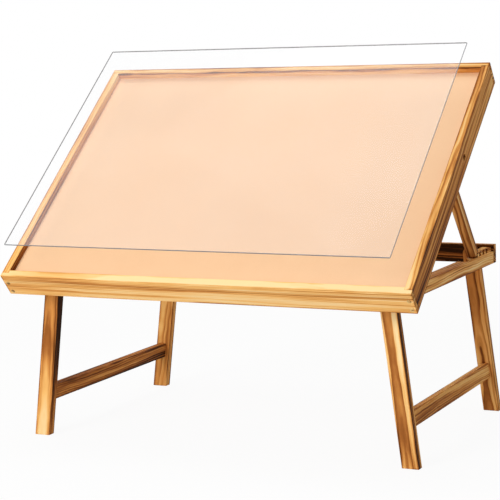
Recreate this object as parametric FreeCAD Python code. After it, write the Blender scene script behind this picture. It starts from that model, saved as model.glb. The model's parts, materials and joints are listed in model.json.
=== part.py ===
import FreeCAD, Part
import math
import os

# Folding puzzle table: a tilting tray hinged on a low base frame with folding legs.
# Lengths are in millimetres. X runs along the table, Y from front to back, Z up.
# While it is drawn, the base's front face lies at Y = 0 and the floor at Z = 0.

# Tray frame and the board let into it
tray_width = 780.0
tray_depth = 560.0
tray_rail_height = 48.0
tray_rail_thickness = 14.0
tray_corner_lap = 6.0
tray_tilt_deg = 39.5
board_thickness = 4.0
board_underside = 32.0
board_groove_depth = 5.0
board_play = 0.3

# Clear cover sheet, held up over the tray
cover_thickness = 2.0
cover_side_gap = 12.0
cover_front_gap = 7.0
cover_back_gap = 1.0
cover_height = 106.5
cover_corner_radius = 2.0

# Base frame, which fits inside the tray when that is folded flat
base_side_gap = 14.0
base_back_gap = 3.7
base_underside = 282.0
end_rail_height = 35.0
end_rail_thickness = 15.0
side_rail_height = 22.0

# Butt hinges between the base's front rail and a batten under the board
hinge_offset = 200.0
hinge_length = 60.0
leaf_reach = 18.0
leaf_thickness = 1.5
leaf_margin = 7.0
knuckle_radius = 3.0
knuckle_gap = 0.3
knuckle_count = 5
hinge_pin_radius = 1.25
hinge_pin_play = 0.05
hinge_pin_drop = 8.6
hinge_screw_count = 3
hinge_screw_margin = 10.0
batten_thickness = 8.7

# Legs, which fold inwards on bolts through the end rails
leg_width = 30.0
leg_thickness = 16.0
leg_splay_deg = 7.4
leg_stop_gap = 0.3
stretcher_thickness = 14.0
stretcher_height = 28.0
stretcher_rise = 77.5
tenon_length = 8.0
tenon_thickness = 8.0
tenon_height = 18.0
tenon_play = 0.2

# Props and the toothed racks they stand in
prop_thickness = 17.0
prop_width = 18.0
prop_pivot_depth = 340.0
prop_top_gap = 1.0
prop_side_gap = 0.6
prop_block_length = 40.0
prop_block_skirt = 5.0
rack_lip = 5.0
rack_rebate_depth = 10.0
rack_rebate_lead = 57.0
rack_toe = 5.0
rack_seat_drop = 1.0
rack_seat_back = 92.0
rack_tooth_height = 9.0
rack_tooth_length = 9.0
rack_pitch = 20.0
rack_tooth_count = 4
seat_gap = 0.3
tooth_gap = 0.5

# Bolts, washers and nuts at the leg and prop pivots
bolt_radius = 3.0
bolt_play = 0.05
bolt_tail = 2.0
bolt_head_radius = 7.0
bolt_head_height = 4.0
bolt_socket_radius = 2.3
bolt_socket_depth = 2.0
prop_head_radius = 5.5
prop_head_height = 4.0
prop_head_sink = 8.0
prop_head_play = 0.7
washer_radius = 7.0
washer_thickness = 1.0
nut_radius = 5.77
nut_height = 5.0

# Countersunk screws
corner_screw_radius = 2.0
corner_screw_head_radius = 4.0
corner_screw_head_depth = 2.0
corner_screw_length = 35.0
corner_screw_inset = 8.0
corner_screw_low = 7.0
corner_screw_drop = 3.5
base_screw_spacing = 11.0
hinge_screw_radius = 1.2
hinge_screw_head_radius = 2.4
hinge_screw_head_depth = 1.2
hinge_screw_length = 8.0
screw_play = 0.05
screw_slot_width = 0.9
recess_reach_share = 0.62
recess_depth_share = 0.55

# How far cutting bodies run past the faces they cut
overrun = 20.0

Vec = FreeCAD.Vector
X_AXIS = Vec(1, 0, 0)
Y_AXIS = Vec(0, 1, 0)
Z_AXIS = Vec(0, 0, 1)

# Places that several pieces share
tilt = math.radians(tray_tilt_deg)
splay = math.radians(leg_splay_deg)
tray_half = tray_width / 2
tray_inner_half = tray_half - tray_rail_thickness
tray_lap_line = tray_rail_thickness - tray_corner_lap
base_half = tray_inner_half - base_side_gap
base_top = base_underside + end_rail_height
side_rail_top = base_underside + side_rail_height
leaf_setback = knuckle_radius + knuckle_gap - leaf_thickness
leaf_cutback = knuckle_radius + knuckle_gap + knuckle_gap
leaf_face = leaf_setback + leaf_thickness
batten_underside = board_underside - batten_thickness
hinge_pin_depth = tray_rail_thickness + leaf_reach + leaf_margin
hinge_pin_rise = batten_underside - leaf_face
hinge_pin_y = -leaf_face
hinge_pin_z = base_top - hinge_pin_drop
base_depth = tray_depth - tray_rail_thickness - base_back_gap - hinge_pin_depth - leaf_face
tray_y = hinge_pin_y - hinge_pin_depth * math.cos(tilt) + hinge_pin_rise * math.sin(tilt)
tray_z = hinge_pin_z - hinge_pin_depth * math.sin(tilt) - hinge_pin_rise * math.cos(tilt)
leg_front = end_rail_thickness + washer_thickness
leg_back = leg_front + leg_thickness
rack_lip_inner = base_half - rack_lip
prop_outer = rack_lip_inner - prop_side_gap
prop_inner = prop_outer - prop_thickness
prop_pivot_rise = board_underside - prop_top_gap - prop_width / 2
side_rail_inner = prop_inner - prop_side_gap
leg_edge_at_base = side_rail_inner - leg_stop_gap
leg_pivot_height = base_underside + end_rail_height / 2
leg_pivot_x = (leg_edge_at_base - leg_width / 2 / math.cos(splay)
               - (leg_pivot_height - base_underside) * math.tan(splay))
rack_end = base_depth - end_rail_thickness
rack_floor = side_rail_top - rack_seat_drop
prop_tip_y = rack_end - rack_seat_back
prop_tip_z = rack_floor + seat_gap


def block(x0, x1, y0, y1, z0, z1):
    """Box between two corners."""
    return Part.makeBox(x1 - x0, y1 - y0, z1 - z0, Vec(x0, y0, z0))


def rod(radius, start, axis, length):
    """Round bar from a start point along an axis."""
    return Part.makeCylinder(radius, length, start, axis)


def hex_bar(radius, height):
    """Six-sided bar standing on Z = 0, its corners at the given radius."""
    corners = []
    for corner in range(7):
        turn = math.radians(60 * corner)
        corners.append(Vec(radius * math.cos(turn), radius * math.sin(turn), 0))
    return Part.Face(Part.makePolygon(corners)).extrude(Vec(0, 0, height))


def facing(shape, point, outward):
    """Carry a piece drawn along +Z so that it stands at a point and faces outward."""
    placed = shape.copy()
    placed.Placement = FreeCAD.Placement(point, FreeCAD.Rotation(Z_AXIS, outward))
    return placed


def on_tray(shape):
    """Carry a piece drawn in the tray's own axes to the tilted tray."""
    placed = shape.copy()
    placed.rotate(Vec(0, 0, 0), X_AXIS, tray_tilt_deg)
    placed.translate(Vec(0, tray_y, tray_z))
    return placed


def left_of(shape):
    """Mirror image of a right-hand piece."""
    return shape.mirror(Vec(0, 0, 0), X_AXIS)


def behind(shape):
    """Mirror image, at the back of the base, of a piece at its front."""
    return shape.mirror(Vec(0, base_depth / 2, 0), Y_AXIS)


def both_sides(shapes):
    """The given right-hand shapes and their mirror images."""
    return shapes + [left_of(shape) for shape in shapes]


def cut_all(shape, cutters):
    """Cut a shape with every cutter in turn."""
    for cutter in cutters:
        shape = shape.cut(cutter)
    return shape


def screw_blank(head_radius, head_depth, radius, length, play=0):
    """Countersunk screw along -Z with its head at Z = 0, grown all round by the play."""
    head = Part.makeCone(radius + play, head_radius + play, head_depth, Vec(0, 0, -head_depth))
    shank = rod(radius + play, Vec(0, 0, -length - play), Z_AXIS, length + play - head_depth)
    return head.fuse(shank)


def screw(head_radius, head_depth, radius, length):
    """Countersunk screw with a cross recess in its head."""
    reach = head_radius * recess_reach_share
    depth = head_depth * recess_depth_share
    half = screw_slot_width / 2
    blank = screw_blank(head_radius, head_depth, radius, length)
    recess = block(-reach, reach, -half, half, -depth, 0)
    cross = block(-half, half, -reach, reach, -depth, 0)
    return blank.cut(recess.fuse(cross))


def washer(start, axis):
    """Flat washer on a pivot bolt."""
    disc = rod(washer_radius, start, axis, washer_thickness)
    return disc.cut(rod(bolt_radius + bolt_play, start, axis, washer_thickness))


def nut(start, axis):
    """Hexagon nut on a pivot bolt."""
    bore = rod(bolt_radius + bolt_play, Vec(0, 0, 0), Z_AXIS, nut_height)
    return facing(hex_bar(nut_radius, nut_height).cut(bore), start, axis)


# Base frame: front and back rails run the full width over the ends of the side rails
def corner_screw_place(side, row):
    """Head of a base corner screw in the front face."""
    middle = (side_rail_inner + base_half) / 2
    rise = (side_rail_height - rack_rebate_depth) / 2
    return Vec(side * (middle + row * base_screw_spacing / 2), 0, base_underside + rise)


base_screw_spots = [corner_screw_place(side, row) for side in (-1, 1) for row in (-1, 1)]
corner_screw_size = (corner_screw_head_radius, corner_screw_head_depth,
                     corner_screw_radius, corner_screw_length)
front_screws = [facing(screw(*corner_screw_size), spot, -Y_AXIS) for spot in base_screw_spots]
front_screw_holes = [facing(screw_blank(*corner_screw_size, play=screw_play), spot, -Y_AXIS)
                     for spot in base_screw_spots]

hinge_screw_size = (hinge_screw_head_radius, hinge_screw_head_depth,
                    hinge_screw_radius, hinge_screw_length)
hinge_screw_step = (hinge_length - hinge_screw_margin - hinge_screw_margin) / (hinge_screw_count - 1)
leaf_screw_line = (leaf_cutback + leaf_reach) / 2
hinge_screw_offsets = [hinge_offset - hinge_length / 2 + hinge_screw_margin + hinge_screw_step * place
                       for place in range(hinge_screw_count)]
base_hinge_spots = [Vec(side * offset, -leaf_thickness, hinge_pin_z - leaf_screw_line)
                    for side in (-1, 1) for offset in hinge_screw_offsets]
base_hinge_screws = [facing(screw(*hinge_screw_size), spot, -Y_AXIS) for spot in base_hinge_spots]
base_hinge_holes = [facing(screw_blank(*hinge_screw_size, play=screw_play), spot, -Y_AXIS)
                    for spot in base_hinge_spots]

leg_bolt_hole = rod(bolt_radius + bolt_play, Vec(leg_pivot_x, -overrun, leg_pivot_height), Y_AXIS,
                    end_rail_thickness + overrun + overrun)
end_rail = block(-base_half, base_half, 0, end_rail_thickness, base_underside, base_top)
end_rail = cut_all(end_rail, both_sides([leg_bolt_hole]) + front_screw_holes)
base_front_rail = cut_all(end_rail, base_hinge_holes)
base_back_rail = behind(end_rail)

side_rail = block(side_rail_inner, base_half, end_rail_thickness, rack_end, base_underside, side_rail_top)
side_rail = cut_all(side_rail, front_screw_holes + [behind(hole) for hole in front_screw_holes])
base_right_rail = side_rail.cut(block(side_rail_inner - overrun, rack_lip_inner,
                                      prop_tip_y - rack_rebate_lead, rack_end + overrun,
                                      side_rail_top - rack_rebate_depth, side_rail_top + overrun))
base_corner_screws = Part.makeCompound(front_screws + [behind(piece) for piece in front_screws])

# Legs: two uprights and a stretcher on each side, drawn upright about the pivot, then splayed
leg_reach = leg_pivot_height / math.cos(splay) + overrun
stretcher_drop = (leg_pivot_height - stretcher_rise) / math.cos(splay)


def as_leg(shape):
    """Splay a right-hand leg piece about its pivot and stand it under the base."""
    placed = shape.copy()
    placed.rotate(Vec(0, 0, 0), Y_AXIS, -leg_splay_deg)
    placed.translate(Vec(leg_pivot_x, 0, leg_pivot_height))
    return placed


def stretcher_bar(width, height, start, end):
    """Bar along Y centred on the leg at the stretcher's height."""
    low = -stretcher_drop - height / 2
    return block(-width / 2, width / 2, start, end, low, low + height)


upright = block(-leg_width / 2, leg_width / 2, leg_front, leg_back, -leg_reach, 0)
upright = upright.fuse(rod(leg_width / 2, Vec(0, leg_front, 0), Y_AXIS, leg_thickness)).removeSplitter()
upright = upright.cut(rod(bolt_radius + bolt_play, Vec(0, leg_front - overrun, 0), Y_AXIS,
                          leg_thickness + overrun + overrun))
upright = upright.cut(stretcher_bar(tenon_thickness, tenon_height, leg_back - tenon_length - tenon_play,
                                    leg_back + overrun))
floor_cut = block(-tray_width, tray_width, -overrun, base_depth, -leg_reach, 0)
right_front_leg = as_leg(upright).cut(floor_cut)
right_back_leg = behind(right_front_leg)
stretcher = stretcher_bar(stretcher_thickness, stretcher_height, leg_back, base_depth - leg_back)
stretcher = stretcher.fuse(stretcher_bar(tenon_thickness, tenon_height, leg_back - tenon_length,
                                         base_depth - leg_back + tenon_length))
right_stretcher = as_leg(stretcher)

# Leg pivot hardware: domed socket-head bolt, a washer each side of the leg, and a nut
dome_radius = (bolt_head_radius ** 2 + bolt_head_height ** 2) / (2 * bolt_head_height)
dome = Part.makeSphere(dome_radius, Vec(0, 0, bolt_head_height - dome_radius))
dome = dome.common(rod(bolt_head_radius, Vec(0, 0, 0), Z_AXIS, bolt_head_height))
socket = hex_bar(bolt_socket_radius, bolt_socket_depth)
socket.translate(Vec(0, 0, bolt_head_height - bolt_socket_depth))
leg_bolt_length = leg_back + washer_thickness + nut_height + bolt_tail
leg_bolt = dome.cut(socket).fuse(rod(bolt_radius, Vec(0, 0, -leg_bolt_length), Z_AXIS, leg_bolt_length))
leg_bolt = facing(leg_bolt, Vec(leg_pivot_x, 0, leg_pivot_height), -Y_AXIS)


def leg_pivot(y):
    """Point on the right front leg's pivot axis."""
    return Vec(leg_pivot_x, y, leg_pivot_height)


def at_all_legs(shapes):
    """A compound of the right front leg's hardware and its images at the other legs."""
    front = both_sides(shapes)
    return Part.makeCompound(front + [behind(shape) for shape in front])


leg_pivot_bolts = at_all_legs([leg_bolt])
leg_pivot_washers = at_all_legs([washer(leg_pivot(end_rail_thickness), Y_AXIS),
                                 washer(leg_pivot(leg_back), Y_AXIS)])
leg_pivot_nuts = at_all_legs([nut(leg_pivot(leg_back + washer_thickness), Y_AXIS)])

# Tray frame, drawn flat in its own axes: the side rails' ends are let into the front and back rails
board_slot = block(-tray_inner_half - board_groove_depth, tray_inner_half + board_groove_depth,
                   tray_rail_thickness - board_groove_depth,
                   tray_depth - tray_rail_thickness + board_groove_depth,
                   board_underside, board_underside + board_thickness + board_play)
tray_screw_spots = [Vec(side * (tray_half - corner_screw_inset), 0, rise)
                    for side in (-1, 1)
                    for rise in (corner_screw_low, board_underside - corner_screw_drop)]
tray_front_screws = [facing(screw(*corner_screw_size), spot, -Y_AXIS) for spot in tray_screw_spots]
tray_front_holes = [facing(screw_blank(*corner_screw_size, play=screw_play), spot, -Y_AXIS)
                    for spot in tray_screw_spots]


def tray_back(shape):
    """Mirror image, at the back of the tray, of a piece at its front."""
    return shape.mirror(Vec(0, tray_depth / 2, 0), Y_AXIS)


corner_rebate = block(tray_inner_half, tray_half + overrun, tray_lap_line, tray_rail_thickness + overrun,
                      -overrun, tray_rail_height + overrun)
tray_front_rail = block(-tray_half, tray_half, 0, tray_rail_thickness, 0, tray_rail_height)
tray_front_rail = cut_all(tray_front_rail, both_sides([corner_rebate]) + tray_front_holes + [board_slot])
tray_back_rail = tray_back(tray_front_rail)
tray_board = block(-tray_inner_half - board_groove_depth + board_play,
                   tray_inner_half + board_groove_depth - board_play,
                   tray_rail_thickness - board_groove_depth + board_play,
                   tray_depth - tray_rail_thickness + board_groove_depth - board_play,
                   board_underside, board_underside + board_thickness)
tray_corner_screws = Part.makeCompound(tray_front_screws + [tray_back(piece) for piece in tray_front_screws])

# Prop pivot: a block on the side rail's inner face, and a bolt from the outside through block and prop
prop_bolt_seat = tray_half - prop_head_sink
prop_bolt_end = prop_inner - washer_thickness - nut_height - bolt_tail
prop_hole = rod(bolt_radius + bolt_play, Vec(prop_bolt_end, prop_pivot_depth, prop_pivot_rise), X_AXIS,
                tray_half + overrun - prop_bolt_end)
prop_head_hole = rod(prop_head_radius + prop_head_play,
                     Vec(prop_bolt_seat, prop_pivot_depth, prop_pivot_rise), X_AXIS,
                     prop_head_sink + overrun)
tray_right_rail = block(tray_inner_half, tray_half, tray_lap_line, tray_depth - tray_lap_line,
                        0, tray_rail_height)
tray_right_rail = cut_all(tray_right_rail, tray_front_holes + [tray_back(hole) for hole in tray_front_holes])
tray_right_rail = cut_all(tray_right_rail, [board_slot, prop_hole, prop_head_hole])
right_prop_block = block(prop_outer + washer_thickness, tray_inner_half,
                         prop_pivot_depth - prop_block_length / 2, prop_pivot_depth + prop_block_length / 2,
                         prop_pivot_rise - prop_block_skirt, board_underside).cut(prop_hole)

prop_shank_length = prop_bolt_seat - prop_bolt_end
prop_shank = rod(bolt_radius, Vec(0, 0, -prop_shank_length), Z_AXIS, prop_shank_length)
prop_head = rod(prop_head_radius, Vec(0, 0, 0), Z_AXIS, prop_head_height)
prop_socket = hex_bar(bolt_socket_radius, bolt_socket_depth)
prop_socket.translate(Vec(0, 0, prop_head_height - bolt_socket_depth))
prop_bolt = prop_head.cut(prop_socket).fuse(prop_shank)
prop_bolt = facing(prop_bolt, Vec(prop_bolt_seat, prop_pivot_depth, prop_pivot_rise), X_AXIS)


def prop_pivot(x):
    """Point on the right prop's pivot axis, in the tray's axes."""
    return Vec(x, prop_pivot_depth, prop_pivot_rise)


prop_bolts = Part.makeCompound(both_sides([prop_bolt]))
prop_washers = Part.makeCompound(both_sides([washer(prop_pivot(prop_outer), X_AXIS),
                                             washer(prop_pivot(prop_inner), -X_AXIS)]))
prop_nuts = Part.makeCompound(both_sides([nut(prop_pivot(prop_inner - washer_thickness), -X_AXIS)]))

# Prop: a square stick hung from the tray, its lower front corner standing on the rack's seat
prop_y = tray_y + prop_pivot_depth * math.cos(tilt) - prop_pivot_rise * math.sin(tilt)
prop_z = tray_z + prop_pivot_depth * math.sin(tilt) + prop_pivot_rise * math.cos(tilt)
seat_run = prop_tip_y - prop_y
seat_fall = prop_z - prop_tip_z
seat_distance = math.hypot(seat_run, seat_fall)
corner_turn = math.asin(prop_width / 2 / seat_distance)
prop_length = seat_distance * math.cos(corner_turn)
prop_lean = math.atan2(seat_fall, seat_run) - corner_turn
right_prop = block(prop_inner, prop_outer, 0, prop_length, -prop_width / 2, prop_width / 2)
right_prop = right_prop.fuse(rod(prop_width / 2, Vec(prop_inner, 0, 0), X_AXIS, prop_thickness))
right_prop = right_prop.removeSplitter().cut(rod(bolt_radius + bolt_play, Vec(prop_inner - overrun, 0, 0),
                                                 X_AXIS, prop_thickness + overrun + overrun))
right_prop.rotate(Vec(0, 0, 0), X_AXIS, -math.degrees(prop_lean))
right_prop.translate(Vec(0, prop_y, prop_z))

# Rack: a toothed strip in the side rail's rebate, with the prop's seat in front of its first tooth
rack_base = side_rail_top - rack_rebate_depth
first_tooth = prop_tip_y + rack_tooth_height * math.tan(prop_lean) + tooth_gap
right_prop_rack = block(side_rail_inner, rack_lip_inner, prop_tip_y - rack_toe, rack_end,
                        rack_base, rack_floor)
for tooth in range(rack_tooth_count):
    tooth_start = first_tooth + tooth * rack_pitch
    tooth_end = tooth_start + rack_tooth_length
    if tooth == rack_tooth_count - 1:
        tooth_end = rack_end
    right_prop_rack = right_prop_rack.fuse(block(side_rail_inner, rack_lip_inner, tooth_start, tooth_end,
                                                 rack_base, rack_floor + rack_tooth_height))
right_prop_rack = right_prop_rack.removeSplitter()

# Hinges: drawn about the pin along X, with the leaf hanging down behind the pin
knuckle_length = (hinge_length - (knuckle_count - 1) * knuckle_gap) / knuckle_count


def knuckle_span(place):
    """Start and end of a knuckle along the hinge."""
    start = place * (knuckle_length + knuckle_gap) - hinge_length / 2
    return start, start + knuckle_length


def hinge_leaf(places):
    """Leaf with the knuckles at the given places, its outer face on the far side from the pin."""
    leaf = block(-hinge_length / 2, hinge_length / 2, leaf_setback, leaf_face, -leaf_reach, -leaf_cutback)
    for place in places:
        start, end = knuckle_span(place)
        leaf = leaf.fuse(block(start, end, leaf_setback, leaf_face, -leaf_reach, 0))
        leaf = leaf.fuse(rod(knuckle_radius, Vec(start, 0, 0), X_AXIS, end - start))
    bore = rod(hinge_pin_radius + hinge_pin_play, Vec(-hinge_length, 0, 0), X_AXIS, hinge_length * 2)
    return leaf.removeSplitter().cut(bore)


def at_hinge(shape, side):
    """Carry a piece drawn about the pin to one hinge on the base."""
    placed = shape.copy()
    placed.translate(Vec(side * hinge_offset, hinge_pin_y, hinge_pin_z))
    return placed


def at_tray_hinge(shape, side):
    """Turn a leaf forward under the batten and carry it to one hinge on the tray."""
    placed = shape.copy()
    placed.rotate(Vec(0, 0, 0), X_AXIS, 90)
    placed.rotate(Vec(0, 0, 0), Z_AXIS, 180)
    placed.translate(Vec(side * hinge_offset, hinge_pin_depth, hinge_pin_rise))
    return placed


base_leaf = hinge_leaf(range(0, knuckle_count, 2))
tray_leaf = hinge_leaf(range(1, knuckle_count, 2))
hinge_pin = rod(hinge_pin_radius, Vec(-hinge_length / 2, 0, 0), X_AXIS, hinge_length)
tray_hinge_spots = [Vec(side * offset, hinge_pin_depth - leaf_screw_line, hinge_pin_rise + leaf_setback)
                    for side in (-1, 1) for offset in hinge_screw_offsets]
tray_hinge_screws = [facing(screw(*hinge_screw_size), spot, -Z_AXIS) for spot in tray_hinge_spots]
tray_hinge_holes = [facing(screw_blank(*hinge_screw_size, play=screw_play), spot, -Z_AXIS)
                    for spot in tray_hinge_spots]
tray_hinge_batten = block(-tray_inner_half, tray_inner_half, tray_rail_thickness, hinge_pin_depth,
                          batten_underside, board_underside)
tray_hinge_batten = cut_all(tray_hinge_batten, tray_hinge_holes)

# Clear cover: a thin sheet with rounded corners, drawn in the tray's axes
cover_half = tray_inner_half - cover_side_gap
clear_cover = block(-cover_half, cover_half, tray_rail_thickness + cover_front_gap,
                    tray_depth - tray_rail_thickness - cover_back_gap,
                    cover_height, cover_height + cover_thickness)
upright_edges = [edge for edge in clear_cover.Edges if abs(edge.tangentAt(edge.FirstParameter).z) > 0.5]
clear_cover = clear_cover.makeFillet(cover_corner_radius, upright_edges)

pieces = {
    "base_front_rail": base_front_rail,
    "base_back_rail": base_back_rail,
    "base_left_rail": left_of(base_right_rail),
    "base_right_rail": base_right_rail,
    "base_corner_screws": base_corner_screws,
    "left_prop_rack": left_of(right_prop_rack),
    "right_prop_rack": right_prop_rack,
    "leg_pivot_bolts": leg_pivot_bolts,
    "leg_pivot_washers": leg_pivot_washers,
    "leg_pivot_nuts": leg_pivot_nuts,
    "hinge_base_screws": Part.makeCompound(base_hinge_screws),
    "left_front_leg": left_of(right_front_leg),
    "left_back_leg": left_of(right_back_leg),
    "left_stretcher": left_of(right_stretcher),
    "right_front_leg": right_front_leg,
    "right_back_leg": right_back_leg,
    "right_stretcher": right_stretcher,
    "tray_front_rail": on_tray(tray_front_rail),
    "tray_back_rail": on_tray(tray_back_rail),
    "tray_left_rail": on_tray(left_of(tray_right_rail)),
    "tray_right_rail": on_tray(tray_right_rail),
    "tray_board": on_tray(tray_board),
    "tray_corner_screws": on_tray(tray_corner_screws),
    "tray_hinge_batten": on_tray(tray_hinge_batten),
    "hinge_tray_screws": on_tray(Part.makeCompound(tray_hinge_screws)),
    "left_prop_block": on_tray(left_of(right_prop_block)),
    "right_prop_block": on_tray(right_prop_block),
    "prop_bolts": on_tray(prop_bolts),
    "prop_washers": on_tray(prop_washers),
    "prop_nuts": on_tray(prop_nuts),
    "left_prop": left_of(right_prop),
    "right_prop": right_prop,
    "clear_cover": on_tray(clear_cover),
}
for side, name in ((-1, "left"), (1, "right")):
    pieces[name + "_hinge_base_leaf"] = cut_all(at_hinge(base_leaf, side), base_hinge_holes)
    pieces[name + "_hinge_tray_leaf"] = on_tray(cut_all(at_tray_hinge(tray_leaf, side), tray_hinge_holes))
    pieces[name + "_hinge_pin"] = at_hinge(hinge_pin, side)

# The origin goes to the middle of the bottom of the whole table
bounds = Part.makeCompound(list(pieces.values())).optimalBoundingBox()
middle = Vec(0, -(bounds.YMin + bounds.YMax) / 2, -bounds.ZMin)
os.makedirs("parts", exist_ok=True)
for name, shape in pieces.items():
    shape.translate(middle)
    shape.exportStep("parts/" + name + ".step")

print("moved by", middle)
print("prop length", prop_length, "lean", math.degrees(prop_lean))
print("leg pivot", leg_pivot_x, leg_pivot_height, "prop pivot", prop_y + middle.y, prop_z)
print("hinge pin", hinge_pin_y + middle.y, hinge_pin_z)
print("tray corner", tray_y + middle.y, tray_z)
print("box", bounds.XLength, bounds.YLength, bounds.ZLength)
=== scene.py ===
import json
import math

import bmesh
import bpy
from mathutils import Matrix, Vector

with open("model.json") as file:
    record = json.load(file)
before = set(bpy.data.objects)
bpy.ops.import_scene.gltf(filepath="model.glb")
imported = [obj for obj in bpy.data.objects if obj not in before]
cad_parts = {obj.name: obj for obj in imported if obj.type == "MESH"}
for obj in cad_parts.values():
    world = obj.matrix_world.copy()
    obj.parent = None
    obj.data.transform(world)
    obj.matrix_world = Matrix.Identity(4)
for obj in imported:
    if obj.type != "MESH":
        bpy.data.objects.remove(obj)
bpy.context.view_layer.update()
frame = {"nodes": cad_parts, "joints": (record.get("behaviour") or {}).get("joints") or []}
joints = {joint["name"]: joint for joint in frame["joints"]}


# Base end rails
# Two planed pine boards across the front and back of the base, screwed over the ends of its
# side rails. All the table's pine is browned with a torch, brushed along the grain and sealed.

def colour(red, green, blue):
    """A shader colour from the 0 to 255 values it shows on screen."""
    shown = [channel / 255 for channel in (red, green, blue)]
    linear = [c / 12.92 if c <= 0.04045 else ((c + 0.055) / 1.055) ** 2.4 for c in shown]
    return (*linear, 1.0)


def feed(tree, socket, value):
    """Links a socket to another node's output, or types a plain value into it."""
    if isinstance(value, bpy.types.NodeSocket):
        tree.links.new(value, socket)
    else:
        socket.default_value = value


def sum_of(tree, operation, *values):
    """One Math node's result."""
    node = tree.nodes.new("ShaderNodeMath")
    node.operation = operation
    for socket, value in zip(node.inputs, values):
        feed(tree, socket, value)
    return node.outputs[0]


def vector_of(tree, operation, *values):
    """One Vector Math node's vector."""
    node = tree.nodes.new("ShaderNodeVectorMath")
    node.operation = operation
    for socket, value in zip(node.inputs, values):
        feed(tree, socket, value)
    return node.outputs["Vector"]


def scaled(tree, vector, factor):
    """A vector times a number."""
    node = tree.nodes.new("ShaderNodeVectorMath")
    node.operation = "SCALE"
    feed(tree, node.inputs[0], vector)
    feed(tree, node.inputs["Scale"], factor)
    return node.outputs["Vector"]


def length_of(tree, vector):
    """A vector's length."""
    node = tree.nodes.new("ShaderNodeVectorMath")
    node.operation = "LENGTH"
    feed(tree, node.inputs[0], vector)
    return node.outputs["Value"]


def parts_of(tree, vector):
    """A vector's X, Y and Z."""
    node = tree.nodes.new("ShaderNodeSeparateXYZ")
    feed(tree, node.inputs[0], vector)
    return tuple(node.outputs)


def joined(tree, *parts):
    """A vector from its X, Y and Z. Those not given are zero."""
    node = tree.nodes.new("ShaderNodeCombineXYZ")
    for socket, part in zip(node.inputs, parts):
        feed(tree, socket, part)
    return node.outputs[0]


def ease(tree, value, low, high, start=0.0, stop=1.0):
    """Rises smoothly from start, where the value is low, to stop, where it is high."""
    node = tree.nodes.new("ShaderNodeMapRange")
    node.interpolation_type = "SMOOTHSTEP"
    for socket, given in zip(node.inputs, (value, low, high, start, stop)):
        feed(tree, socket, given)
    return node.outputs["Result"]


def clouds(tree, place, patches, detail, output="Fac"):
    """Noise at so many patches per metre along each axis."""
    node = tree.nodes.new("ShaderNodeTexNoise")
    node.inputs["Scale"].default_value = 1.0
    node.inputs["Detail"].default_value = detail
    tree.links.new(vector_of(tree, "MULTIPLY", place, patches), node.inputs["Vector"])
    return node.outputs[output]


def swing(tree, value, reach):
    """Turns a 0 to 1 value into one that swings about 0 by up to reach."""
    centred = sum_of(tree, "SUBTRACT", value, 0.5)
    return sum_of(tree, "MULTIPLY", centred, sum_of(tree, "MULTIPLY", reach, 2.0))


def total(tree, *values):
    """All the values added up."""
    result = values[0]
    for value in values[1:]:
        result = sum_of(tree, "ADD", result, value)
    return result


def new_group(name, inputs, outputs):
    """An empty shader group with named sockets, its inputs and its output node."""
    tree = bpy.data.node_groups.new(name, "ShaderNodeTree")
    for socket, kind in inputs.items():
        tree.interface.new_socket(socket, in_out="INPUT", socket_type="NodeSocket" + kind)
    for socket, kind in outputs.items():
        tree.interface.new_socket(socket, in_out="OUTPUT", socket_type="NodeSocket" + kind)
    given = tree.nodes.new("NodeGroupInput").outputs
    return tree, given, tree.nodes.new("NodeGroupOutput").inputs


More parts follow.
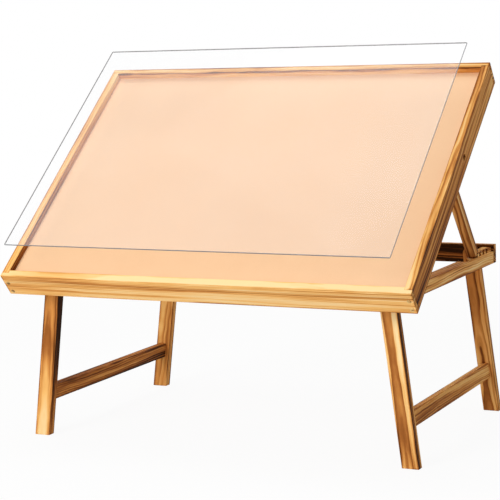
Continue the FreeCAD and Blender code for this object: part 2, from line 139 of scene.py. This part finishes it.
def torched_pine_group():
    """Growth rings round a pith, browned by the flame in bands, at edges and on end grain, with
    painted shade in recesses and on the sides, where it adds to the burn.
    """
    tree, given, made = new_group(
        "torched_pine",
        {
            "Place": "Vector", "Facing": "Vector", "Half Size": "Vector", "Pith": "Vector",
            "Ring Spacing": "Float", "Band Width": "Float", "Wander": "Float", "Burn": "Float",
            "Lean": "Float", "Contrast": "Float", "Side Burn And Shade": "Float", "Side Shade And Burn Lean": "Float",
            "Edge Burn": "Float", "End Burn": "Float", "Seed": "Float",
        },
        {"Colour": "Color", "Roughness": "Float", "Height": "Float"},
    )
    lengthwise, _, _ = parts_of(tree, given["Place"])
    seeded = vector_of(tree, "ADD", given["Place"], joined(tree, given["Seed"]))

    # Distance from a pith that wanders
    slow_patches = (2.6, 9, 9)
    quick_patches = (15, 30, 30)
    quick_share = 0.22
    drift_middle = (1 + quick_share) / 2
    across_grain = (0, 1, 1)
    slow_drift = clouds(tree, seeded, slow_patches, detail=1, output="Color")
    quick_drift = clouds(tree, seeded, quick_patches, detail=2, output="Color")
    drift = vector_of(tree, "ADD", slow_drift, scaled(tree, quick_drift, quick_share))
    drift = vector_of(tree, "SUBTRACT", drift, (drift_middle, drift_middle, drift_middle))
    from_pith = vector_of(tree, "SUBTRACT", given["Place"], given["Pith"])
    from_pith = vector_of(tree, "ADD", from_pith, scaled(tree, drift, given["Wander"]))
    ring_radius = length_of(tree, vector_of(tree, "MULTIPLY", from_pith, across_grain))

    # Bands, streaks and fibres drawn out along the rings, and patches where the flame dwelt
    band_patches = (2, 1, 1)
    streak_patches = (7, 330, 1)
    fibre_patches = (40, 1500, 1)
    flame_patches = (9, 45, 45)
    soft_step = (0.34, 0.66)
    along = sum_of(tree, "ADD", lengthwise, given["Seed"])
    band_radius = sum_of(tree, "DIVIDE", ring_radius, given["Band Width"])
    broad = joined(tree, along, band_radius, given["Seed"])
    grain = joined(tree, along, ring_radius, given["Seed"])
    bands = ease(tree, clouds(tree, broad, band_patches, detail=1.5), *soft_step)
    streaks = clouds(tree, grain, streak_patches, detail=3)
    fibres = clouds(tree, grain, fibre_patches, detail=2)
    patches = clouds(tree, seeded, flame_patches, detail=3)

    # Growth rings: each darkens slowly, ends sharply and has a tone of its own
    ring_rise = (0.35, 0.9)
    ring_fall = (0.92, 1.0)
    ring_count = sum_of(tree, "DIVIDE", ring_radius, given["Ring Spacing"])
    ring = sum_of(tree, "FRACT", ring_count)
    risen = ease(tree, ring, *ring_rise)
    latewood = sum_of(tree, "SUBTRACT", risen, ease(tree, ring, *ring_fall))
    ring_tone = tree.nodes.new("ShaderNodeTexWhiteNoise")
    ring_tone.noise_dimensions = "2D"
    ring_mark = joined(tree, sum_of(tree, "FLOOR", ring_count), given["Seed"])
    tree.links.new(ring_mark, ring_tone.inputs["Vector"])
    burnt_rings = sum_of(tree, "MULTIPLY", latewood, ring_tone.outputs["Value"])

    # Burnt edges: the second nearest of the three pairs of faces is how far off the edge is
    ragged_patches = (14, 120, 120)
    ragged_step = (0.35, 0.75)
    least_reach = 0.0008
    further_reach = 0.007
    off_centre = vector_of(tree, "ABSOLUTE", given["Place"])
    inset = vector_of(tree, "SUBTRACT", given["Half Size"], off_centre)
    end_gap, side_gap, face_gap = parts_of(tree, inset)
    smaller = sum_of(tree, "MINIMUM", end_gap, side_gap)
    larger = sum_of(tree, "MAXIMUM", end_gap, side_gap)
    edge_gap = sum_of(tree, "MAXIMUM", smaller, sum_of(tree, "MINIMUM", larger, face_gap))
    ragged = ease(tree, clouds(tree, seeded, ragged_patches, detail=3), *ragged_step)
    edge_reach = sum_of(tree, "MULTIPLY_ADD", ragged, further_reach, least_reach)
    edges = sum_of(tree, "SUBTRACT", 1.0, ease(tree, edge_gap, 0.0, edge_reach))

    # Bores, notches and sunk holes lie inside all the faces, and get painted shade
    recess_step = (0.0006, 0.003)
    painted_recess_shade = ease(tree, sum_of(tree, "MINIMUM", smaller, face_gap), *recess_step)

    # End grain browns to a level of its own, and the sides darken by more or less than the faces,
    # partly as burn and partly as painted shade, leaning along the length
    facing_step = (0.55, 0.9)
    patch_share = 0.7
    end_facing, side_facing, _ = parts_of(tree, vector_of(tree, "ABSOLUTE", given["Facing"]))
    ends = ease(tree, end_facing, *facing_step)
    burnt_and_shaded_sides = ease(tree, side_facing, *facing_step)
    half_length, _, _ = parts_of(tree, given["Half Size"])
    share = sum_of(tree, "DIVIDE", lengthwise, half_length)
    end_change = sum_of(tree, "SUBTRACT", given["End Burn"], given["Burn"])
    side_burn_and_shade = sum_of(tree, "MULTIPLY_ADD", given["Side Shade And Burn Lean"], share, given["Side Burn And Shade"])
    burn_and_side_shade = total(
        tree,
        given["Burn"],
        sum_of(tree, "MULTIPLY", ends, end_change),
        sum_of(tree, "MULTIPLY", burnt_and_shaded_sides, side_burn_and_shade),
        sum_of(tree, "MULTIPLY", given["Lean"], share),
        swing(tree, bands, given["Contrast"]),
        swing(tree, patches, sum_of(tree, "MULTIPLY", given["Contrast"], patch_share)),
    )

    # Lines of the grain, deeper where the wood is browner and on end grain
    streak_swing = 0.3
    fibre_swing = 0.15
    ring_gain = 1.1
    ring_offset = -0.3
    glow_lines = 0.45
    end_lines = 0.5
    line_share = 0.7
    lines = total(
        tree,
        swing(tree, ease(tree, streaks, *soft_step), streak_swing),
        sum_of(tree, "MULTIPLY_ADD", burnt_rings, ring_gain, ring_offset),
        swing(tree, fibres, fibre_swing),
    )
    line_depth = sum_of(tree, "MULTIPLY_ADD", burn_and_side_shade, glow_lines, given["Contrast"])
    line_depth = sum_of(tree, "MULTIPLY_ADD", ends, end_lines, line_depth)
    line_depth = sum_of(tree, "MULTIPLY", line_depth, line_share)

    # The heat of the flame, with painted shade in recesses and on the sides, and the colour it
    # all leaves
    recess_shade_strength = 0.5
    heat_and_shade = total(
        tree,
        burn_and_side_shade,
        sum_of(tree, "MULTIPLY", lines, line_depth),
        sum_of(tree, "MULTIPLY", edges, given["Edge Burn"]),
        sum_of(tree, "MULTIPLY", painted_recess_shade, recess_shade_strength),
    )
    stops = (
        (0.0, colour(254, 222, 164)),
        (0.22, colour(246, 190, 112)),
        (0.42, colour(216, 146, 74)),
        (0.62, colour(166, 100, 46)),
        (0.82, colour(110, 62, 24)),
        (1.0, colour(50, 26, 9)),
    )
    browning = tree.nodes.new("ShaderNodeValToRGB")
    browning.color_ramp.elements[0].position = stops[0][0]
    browning.color_ramp.elements[1].position = stops[-1][0]
    for position, _ in stops[1:-1]:
        browning.color_ramp.elements.new(position)
    for element, (_, shade) in zip(browning.color_ramp.elements, stops):
        element.color = shade
    tree.links.new(heat_and_shade, browning.inputs["Fac"])
    tree.links.new(browning.outputs["Color"], made["Colour"])

    # Satin sealer, duller on end grain, over raised latewood
    satin = 0.55
    fibre_sheen = 0.08
    streak_sheen = 0.06
    end_dulling = 0.2
    fibre_relief = 0.25
    sheen = total(
        tree, satin, swing(tree, fibres, fibre_sheen), swing(tree, streaks, streak_sheen)
    )
    tree.links.new(sum_of(tree, "MULTIPLY_ADD", ends, end_dulling, sheen), made["Roughness"])
    tree.links.new(total(tree, latewood, swing(tree, fibres, fibre_relief)), made["Height"])
    return tree


def placed_group(tree, group, values):
    """Places a shader group, feeds its inputs and returns its outputs."""
    node = tree.nodes.new("ShaderNodeGroup")
    node.node_tree = group
    for socket, value in values.items():
        feed(tree, node.inputs[socket], value)
    return node.outputs


def new_material(name):
    """A fresh material, its node tree and its surface shader."""
    material = bpy.data.materials.new(name)
    material.use_nodes = True
    tree = material.node_tree
    return material, tree, tree.nodes["Principled BSDF"]


def lying_box(node, turn):
    """A node's centre in the row frame, and its half size, in a box turned with it."""
    points = [turn.transposed() @ vertex.co for vertex in frame["nodes"][node].data.vertices]
    low = Vector([min(point[axis] for point in points) for axis in range(3)])
    high = Vector([max(point[axis] for point in points) for axis in range(3)])
    return turn @ ((low + high) / 2), (high - low) / 2


def lying_place(tree, output, turn, centre):
    """A texture coordinate as seen in a box with that turn and centre."""
    source = tree.nodes.new("ShaderNodeTexCoord")
    mapping = tree.nodes.new("ShaderNodeMapping")
    mapping.vector_type = "TEXTURE"
    mapping.inputs["Location"].default_value = centre
    mapping.inputs["Rotation"].default_value = turn.to_euler("XYZ")
    tree.links.new(source.outputs[output], mapping.inputs["Vector"])
    return mapping.outputs[0]


def raise_surface(tree, surface, height, strength, depth):
    """Lets a height raise and sink a surface, as fine relief."""
    bump = tree.nodes.new("ShaderNodeBump")
    bump.inputs["Strength"].default_value = strength
    bump.inputs["Distance"].default_value = depth
    tree.links.new(height, bump.inputs["Height"])
    tree.links.new(bump.outputs["Normal"], surface.inputs["Normal"])


def dress(node, material, edge):
    """Gives a node its material, joins its loose triangles and takes the edges' sharpness off."""
    weld_gap = 1e-5
    flat_within = math.radians(1.0)
    sharp_over = math.radians(50.0)
    shape = frame["nodes"][node]
    shape.material_slots[0].material = material
    weld = shape.modifiers.new("weld", "WELD")
    weld.merge_threshold = weld_gap
    faces = shape.modifiers.new("faces", "DECIMATE")
    faces.decimate_type = "DISSOLVE"
    faces.angle_limit = flat_within
    rounding = shape.modifiers.new("rounding", "BEVEL")
    rounding.width = edge
    rounding.segments = 2
    rounding.profile = 0.5
    rounding.limit_method = "ANGLE"
    rounding.angle_limit = sharp_over
    rounding.use_clamp_overlap = True


torched_pine = torched_pine_group()
pine_edge = 0.0008
pine_shine = 0.03
pine_relief = 0.35
pine_relief_depth = 0.0004
usual_figure = {
    "Pith": (0, 0.03, 0.05), "Ring Spacing": 0.004, "Band Width": 0.014, "Wander": 0.022,
    "Burn": 0.35, "Contrast": 0.25, "Edge Burn": 0.2, "End Burn": 0.65,
}


def pine(node, turn, figure):
    """Gives a node the torched pine, with its grain along the turned X axis."""
    centre, half_size = lying_box(node, turn)
    material, tree, surface = new_material("torched_pine_" + node)
    place = lying_place(tree, "Object", turn, centre)
    facing = lying_place(tree, "Normal", turn, Vector())
    own = {"Place": place, "Facing": facing, "Half Size": half_size}
    wood = placed_group(tree, torched_pine, {**own, **usual_figure, **figure})
    surface.inputs["Specular IOR Level"].default_value = pine_shine
    tree.links.new(wood["Colour"], surface.inputs["Base Color"])
    tree.links.new(wood["Roughness"], surface.inputs["Roughness"])
    raise_surface(tree, surface, wood["Height"], pine_relief, pine_relief_depth)
    dress(node, material, pine_edge)


along_x = Matrix.Identity(3)
pine("base_front_rail", along_x, {"Burn": 0.5, "Contrast": 0.3, "Seed": 3.1})
pine("base_back_rail", along_x, {"Burn": 0.8, "Contrast": 0.34, "Seed": 8.4})


# Base side rails
# Lower pine strips between the end rails. A rebate along the back of each holds its rack.

along_y = Matrix.Rotation(math.radians(-90), 3, "Z")
pine("base_left_rail", along_y, {"Burn": 0.5, "Seed": 5.7})
pine("base_right_rail", along_y, {"Burn": 0.43, "Lean": 0.13, "Contrast": 0.3, "Seed": 15.0})


# Prop racks
# Sawn pine strips glued into the rebates. The props stand between their teeth.

for side, seed in (("left", 2.2), ("right", 6.9)):
    pine(f"{side}_prop_rack", along_y, {"Burn": 0.45, "Contrast": 0.3, "Seed": seed})


# Base corner screws
# Countersunk steel screws with cross recesses, two to a corner, plated in yellow zinc.

def colour_mix(tree, factor, first, second):
    """A colour between two others."""
    node = tree.nodes.new("ShaderNodeMix")
    node.data_type = "RGBA"
    for socket, value in (("Factor", factor), ("A", first), ("B", second)):
        feed(tree, node.inputs[socket], value)
    return node.outputs["Result"]


def worn_steel_group():
    """Fine scratches and a dulled bloom over plated or rolled steel."""
    tree, given, made = new_group(
        "worn_steel",
        {"Place": "Vector", "Bright": "Color", "Dull": "Color", "Roughness": "Float"},
        {"Colour": "Color", "Roughness": "Float", "Height": "Float"},
    )
    bloom_patches = (160, 160, 160)
    scratch_patches = (180, 2600, 2600)
    bloom_step = (0.35, 0.7)
    bloom_dulling = 0.1
    scratch_dulling = 0.08
    bloom = clouds(tree, given["Place"], bloom_patches, detail=3)
    scratches = clouds(tree, given["Place"], scratch_patches, detail=2)
    shade = colour_mix(tree, ease(tree, bloom, *bloom_step), given["Bright"], given["Dull"])
    rough = total(
        tree,
        given["Roughness"],
        swing(tree, bloom, bloom_dulling),
        swing(tree, scratches, scratch_dulling),
    )
    tree.links.new(shade, made["Colour"])
    tree.links.new(rough, made["Roughness"])
    tree.links.new(scratches, made["Height"])
    return tree


worn_steel = worn_steel_group()
fastener_edge = 0.0002


def steel(name, bright, dull, roughness):
    """A metal material of that plating."""
    scratch_relief = 0.2
    scratch_depth = 0.0001
    material, tree, surface = new_material(name)
    surface.inputs["Metallic"].default_value = 1.0
    source = tree.nodes.new("ShaderNodeTexCoord")
    plating = {"Bright": bright, "Dull": dull, "Roughness": roughness}
    wear = placed_group(tree, worn_steel, {"Place": source.outputs["Object"], **plating})
    tree.links.new(wear["Colour"], surface.inputs["Base Color"])
    tree.links.new(wear["Roughness"], surface.inputs["Roughness"])
    raise_surface(tree, surface, wear["Height"], scratch_relief, scratch_depth)
    return material


yellow_zinc = steel(
    "yellow_zinc_steel", colour(240, 204, 136), colour(138, 94, 48), roughness=0.36
)
dress("base_corner_screws", yellow_zinc, fastener_edge)


# Leg pivot bolts
# Domed steel bolts through the end rails, with a washer between leg and rail and a nut behind.
# They are plated in plain zinc.

zinc = steel("zinc_steel", colour(196, 190, 176), colour(128, 118, 100), roughness=0.36)
for node in ("leg_pivot_bolts", "leg_pivot_washers", "leg_pivot_nuts"):
    dress(node, zinc, fastener_edge)


# Legs
# Flat sawn pine bars, drilled at the top for the pivot bolt and cut level at the foot.
# Each pair swings on its bolts and leans out by the splay when it stands open.

# Folding turns a leg through its splay and a right angle
right_angle = 90.0
splay = math.radians(joints["left_leg_fold"]["range_deg"][1] - right_angle)


def leg_lean(node):
    """How a piece of the left or right leg frame leans out."""
    return Matrix.Rotation(splay if node.startswith("left") else -splay, 3, "Y")


upright = Matrix.Rotation(math.radians(-90), 3, "Y") @ Matrix.Rotation(math.radians(90), 3, "X")
usual_leg = {"Pith": (0, 0.004, 0.03), "Contrast": 0.3, "Edge Burn": 0.25}
leg_figures = {
    "left_front_leg": {"Burn": 0.52, "Lean": 0.22, "Side Burn And Shade": 0.32, "Seed": 1.1},
    "right_front_leg": {
        "Burn": 0.51, "Contrast": 0.42, "Side Burn And Shade": 0.1, "Band Width": 0.008, "Wander": 0.008,
        "Seed": 8.5,
    },
    "left_back_leg": {
        "Burn": 0.37, "Contrast": 0.28, "Side Burn And Shade": 0.25, "Band Width": 0.01, "Seed": 22.8,
    },
    "right_back_leg": {"Burn": 0.39, "Contrast": 0.28, "Side Burn And Shade": 0.1, "Seed": 25.4},
}
# The legs' sides darken partly as burn and partly as painted shade.
for node, figure in leg_figures.items():
    pine(node, leg_lean(node) @ upright, {**usual_leg, **figure})


# Leg stretchers
# Flat pine rails tenoned and glued into the legs of each pair, low on the inside.

stretcher_figures = {
    "left_stretcher": {"Burn": 0.69, "Band Width": 0.01, "Edge Burn": 0.25, "Seed": 4.6},
    "right_stretcher": {"Burn": 0.39, "Contrast": 0.22, "Seed": 38.5},
}
for node, figure in stretcher_figures.items():
    pine(node, leg_lean(node) @ along_y, figure)


# Hinges
# Pressed steel butt hinges with five knuckles on a steel pin. One leaf is screwed to the base's
# front rail, the other to the batten under the board.

rolled = steel("hinge_steel", colour(188, 184, 176), colour(140, 132, 120), roughness=0.3)
for side in ("left", "right"):
    for piece in ("base_leaf", "tray_leaf", "pin"):
        dress(f"{side}_hinge_{piece}", rolled, fastener_edge)
for node in ("hinge_base_screws", "hinge_tray_screws"):
    dress(node, zinc, fastener_edge)


# Tray rails
# Four pine rails. The side rails' ends are let into the front and back rails and screwed there.
# A groove inside all four holds the board.

lift = joints["cover_lift"]["axis"]
tilt = math.atan2(-lift[1], lift[2])
tray_turn = Matrix.Rotation(tilt, 3, "X")
tray_along_y = tray_turn @ along_y
# The rails' sides darken by more than their tops, and more towards one end, partly as burn and
# partly as painted shade.
pine("tray_front_rail", tray_turn, {
    "Pith": (0, 0.01, -0.11), "Band Width": 0.007, "Wander": 0.014, "Burn": 0.05,
    "Contrast": 0.16, "Side Burn And Shade": 0.245, "End Burn": 0.5, "Seed": 6.2,
})
pine("tray_back_rail", tray_turn, {
    "Burn": 0.3, "Lean": -0.06, "Contrast": 0.24, "Side Burn And Shade": 0.02, "Side Shade And Burn Lean": 0.16,
    "Edge Burn": 0.45, "Seed": 10.1,
})
pine("tray_left_rail", tray_along_y, {
    "Burn": 0.31, "Lean": 0.12, "Contrast": 0.14, "Side Burn And Shade": 0.25, "Side Shade And Burn Lean": 0.3,
    "Edge Burn": 0.12, "Seed": 7.9,
})
pine("tray_right_rail", tray_along_y, {
    "Burn": 0.38, "Lean": -0.1, "Contrast": 0.23, "Side Burn And Shade": 0.21, "Side Shade And Burn Lean": 0.29,
    "Band Width": 0.01, "Edge Burn": 0.3, "Seed": 30.0,
})


# Board
# A smooth peach coloured fibreboard panel, let into the rails' grooves without glue.

def fibreboard():
    """Pressed wood fibre with a faint fleck."""
    tone_patches = (14, 14, 14)
    fleck_patches = (900, 1500, 900)
    middle_tone = 0.5
    patch_swing = 0.35
    fleck_swing = 0.5
    matt = 0.58
    fleck_dulling = 0.1
    fleck_relief = 0.12
    fleck_depth = 0.0002
    material, tree, surface = new_material("board")
    place = lying_place(tree, "Object", tray_turn, Vector())
    patches = clouds(tree, place, tone_patches, detail=3)
    fleck = clouds(tree, place, fleck_patches, detail=3)
    tone = total(
        tree, swing(tree, patches, patch_swing), swing(tree, fleck, fleck_swing), middle_tone
    )
    shade = colour_mix(tree, tone, colour(238, 192, 146), colour(248, 206, 162))
    rough = total(tree, matt, swing(tree, fleck, fleck_dulling))
    tree.links.new(shade, surface.inputs["Base Color"])
    tree.links.new(rough, surface.inputs["Roughness"])
    raise_surface(tree, surface, fleck, fleck_relief, fleck_depth)
    return material


frame["nodes"]["tray_board"].material_slots[0].material = fibreboard()


# Tray corner screws
# Countersunk steel screws, two to a corner, through the front and back rails.

dress("tray_corner_screws", yellow_zinc, fastener_edge)


# Hinge batten and prop blocks
# Pine strips glued under the board: one for the hinge screws, and a short block beside each prop.

pine("tray_hinge_batten", tray_turn, {"Seed": 15.8})
for side, seed in (("left", 16.4), ("right", 17.2)):
    pine(f"{side}_prop_block", tray_along_y, {"Burn": 0.45, "Seed": seed})


# Prop bolts
# Short steel bolts through the side rails, their heads sunk out of the way, with washer and nut.
# The bolt heads are painted near black, as the shade in their sunk holes. The washers and nuts
# are plain zinc.

dark_bolt_steel = steel(
    "bolt_steel_painted_dark", colour(58, 50, 42), colour(34, 28, 24), roughness=0.45
)
dress("prop_bolts", dark_bolt_steel, fastener_edge)
for node in ("prop_washers", "prop_nuts"):
    dress(node, zinc, fastener_edge)


# Props
# Pine struts that swing on the prop bolts and hold the tray up from a notch of the rack.

prop_lean = math.radians(48.16)
prop_turn = Matrix.Rotation(-prop_lean, 3, "X") @ along_y
for side, seed in (("left", 18.3), ("right", 24.9)):
    pine(f"{side}_prop", prop_turn, {"Burn": 0.45, "Lean": -0.15, "Contrast": 0.3, "Seed": seed})


# Clear cover
# A thin acrylic sheet with rounded corners and sawn edges, held above the tray here. Let down,
# it lies loose inside the rails and keeps the board's work in place.

def clear_sheet():
    """A clear sheet with a faint veil, and edges painted grey and more opaque, as the shade that
    refraction gives them.
    """
    edge_width = 0.0016
    haze_patches = (5, 3, 5)
    veil_share = 0.12
    veil_swing = 0.03
    polish = 0.08
    polish_swing = 0.04
    acrylic_ior = 1.49
    centre, half_size = lying_box("clear_cover", tray_turn)
    material, tree, surface = new_material("clear_sheet")
    place = lying_place(tree, "Object", tray_turn, centre)
    inset = vector_of(tree, "SUBTRACT", half_size, vector_of(tree, "ABSOLUTE", place))
    end_gap, side_gap, _ = parts_of(tree, inset)
    # The sawn edges get painted shade: grey and near opaque.
    rim_gap = sum_of(tree, "MINIMUM", end_gap, side_gap)
    painted_edge_shade = sum_of(tree, "SUBTRACT", 1.0, ease(tree, rim_gap, 0.0, edge_width))
    haze = clouds(tree, place, haze_patches, detail=2)
    shade = colour_mix(tree, painted_edge_shade, colour(236, 236, 238), colour(112, 112, 114))
    veil = total(tree, veil_share, swing(tree, haze, veil_swing))
    rough = total(tree, polish, swing(tree, haze, polish_swing))
    tree.links.new(shade, surface.inputs["Base Color"])
    tree.links.new(sum_of(tree, "MAXIMUM", veil, painted_edge_shade), surface.inputs["Alpha"])
    tree.links.new(rough, surface.inputs["Roughness"])
    surface.inputs["IOR"].default_value = acrylic_ior
    return material


cover_edge = 0.0003
dress("clear_cover", clear_sheet(), cover_edge)


# Studio
# A pale floor under soft lamps: a large key from the front left, a top panel and a low fill.

floor_size = 24.0
floor_mesh = bmesh.new()
bmesh.ops.create_grid(floor_mesh, x_segments=1, y_segments=1, size=floor_size / 2)
floor_data = bpy.data.meshes.new("studio_floor")
floor_mesh.to_mesh(floor_data)
floor_mesh.free()
floor = bpy.data.objects.new("studio_floor", floor_data)
bpy.context.scene.collection.objects.link(floor)


def white_for_camera(tree, lit, share):
    """Mixes a lit shader towards plain white where the camera, a gloss or glass looks at it."""
    path = tree.nodes.new("ShaderNodeLightPath")
    seen = sum_of(tree, "MAXIMUM", path.outputs["Is Camera Ray"], path.outputs["Is Glossy Ray"])
    seen = sum_of(tree, "MAXIMUM", seen, path.outputs["Is Transmission Ray"])
    white = tree.nodes.new("ShaderNodeEmission")
    mix = tree.nodes.new("ShaderNodeMixShader")
    tree.links.new(sum_of(tree, "MULTIPLY", seen, share), mix.inputs["Fac"])
    tree.links.new(lit, mix.inputs[1])
    tree.links.new(white.outputs[0], mix.inputs[2])
    return mix.outputs[0]


floor_white = 0.93
white_from = 1.0
white_at = 3.2
floor_roughness = 0.8
floor_paint, paint, painted = new_material("studio_floor")
painted.inputs["Base Color"].default_value = colour(240, 240, 240)
painted.inputs["Roughness"].default_value = floor_roughness
painted.inputs["Specular IOR Level"].default_value = 0.0
spot = paint.nodes.new("ShaderNodeTexCoord")
reach = length_of(paint, spot.outputs["Object"])
whiteness = ease(paint, reach, white_from, white_at, floor_white, 1.0)
paint.links.new(
    white_for_camera(paint, painted.outputs[0], whiteness),
    paint.nodes["Material Output"].inputs["Surface"],
)
floor_data.materials.append(floor_paint)

sky_strength = 0.4
sky = bpy.data.worlds.new("studio")
bpy.context.scene.world = sky
sky.use_nodes = True
ambient = sky.node_tree.nodes["Background"]
ambient.inputs["Color"].default_value = (1, 1, 1, 1)
ambient.inputs["Strength"].default_value = sky_strength
sky.node_tree.links.new(
    white_for_camera(sky.node_tree, ambient.outputs[0], 1.0),
    sky.node_tree.nodes["World Output"].inputs["Surface"],
)

lamp_target = Vector((0, 0, 0.4))


def lamp(name, place, size, power):
    """A square soft box aimed at the table."""
    data = bpy.data.lights.new(name, "AREA")
    data.size = size
    data.energy = power
    made = bpy.data.objects.new(name, data)
    made.location = place
    made.rotation_euler = (lamp_target - Vector(place)).to_track_quat("-Z", "Y").to_euler()
    bpy.context.scene.collection.objects.link(made)


lamp("key_lamp", place=(-0.9, -3.1, 2.3), size=1.2, power=47)
lamp("top_lamp", place=(-0.3, 0.2, 2.8), size=1.6, power=23)
lamp("fill_lamp", place=(-0.3, -3.2, 0.8), size=1.6, power=24)


# Camera
# It stands to the right of the table's middle and looks slightly down, as in the photograph.

camera_place = Vector((1.2525, -2.6418, 0.7014))
yaw = math.radians(25.71)
pitch = math.radians(7.23)
roll = math.radians(-1.56)
focal_pixels = 1604.2
picture_pixels = 500.0

heading = Vector((-math.sin(yaw), math.cos(yaw), 0))
ahead = math.cos(pitch) * heading - Vector((0, 0, math.sin(pitch)))
level = Vector((math.cos(yaw), math.sin(yaw), 0))
upward = level.cross(ahead)
right = math.cos(roll) * level + math.sin(roll) * upward
top = -math.sin(roll) * level + math.cos(roll) * upward
camera_data = bpy.data.cameras.new("camera")
camera_data.lens = camera_data.sensor_width * focal_pixels / picture_pixels
camera = bpy.data.objects.new("camera", camera_data)
camera.location = camera_place
camera.rotation_euler = Matrix((right, top, -ahead)).transposed().to_euler()
bpy.context.scene.collection.objects.link(camera)
bpy.context.scene.camera = camera
bpy.context.scene.view_settings.view_transform = "Standard"
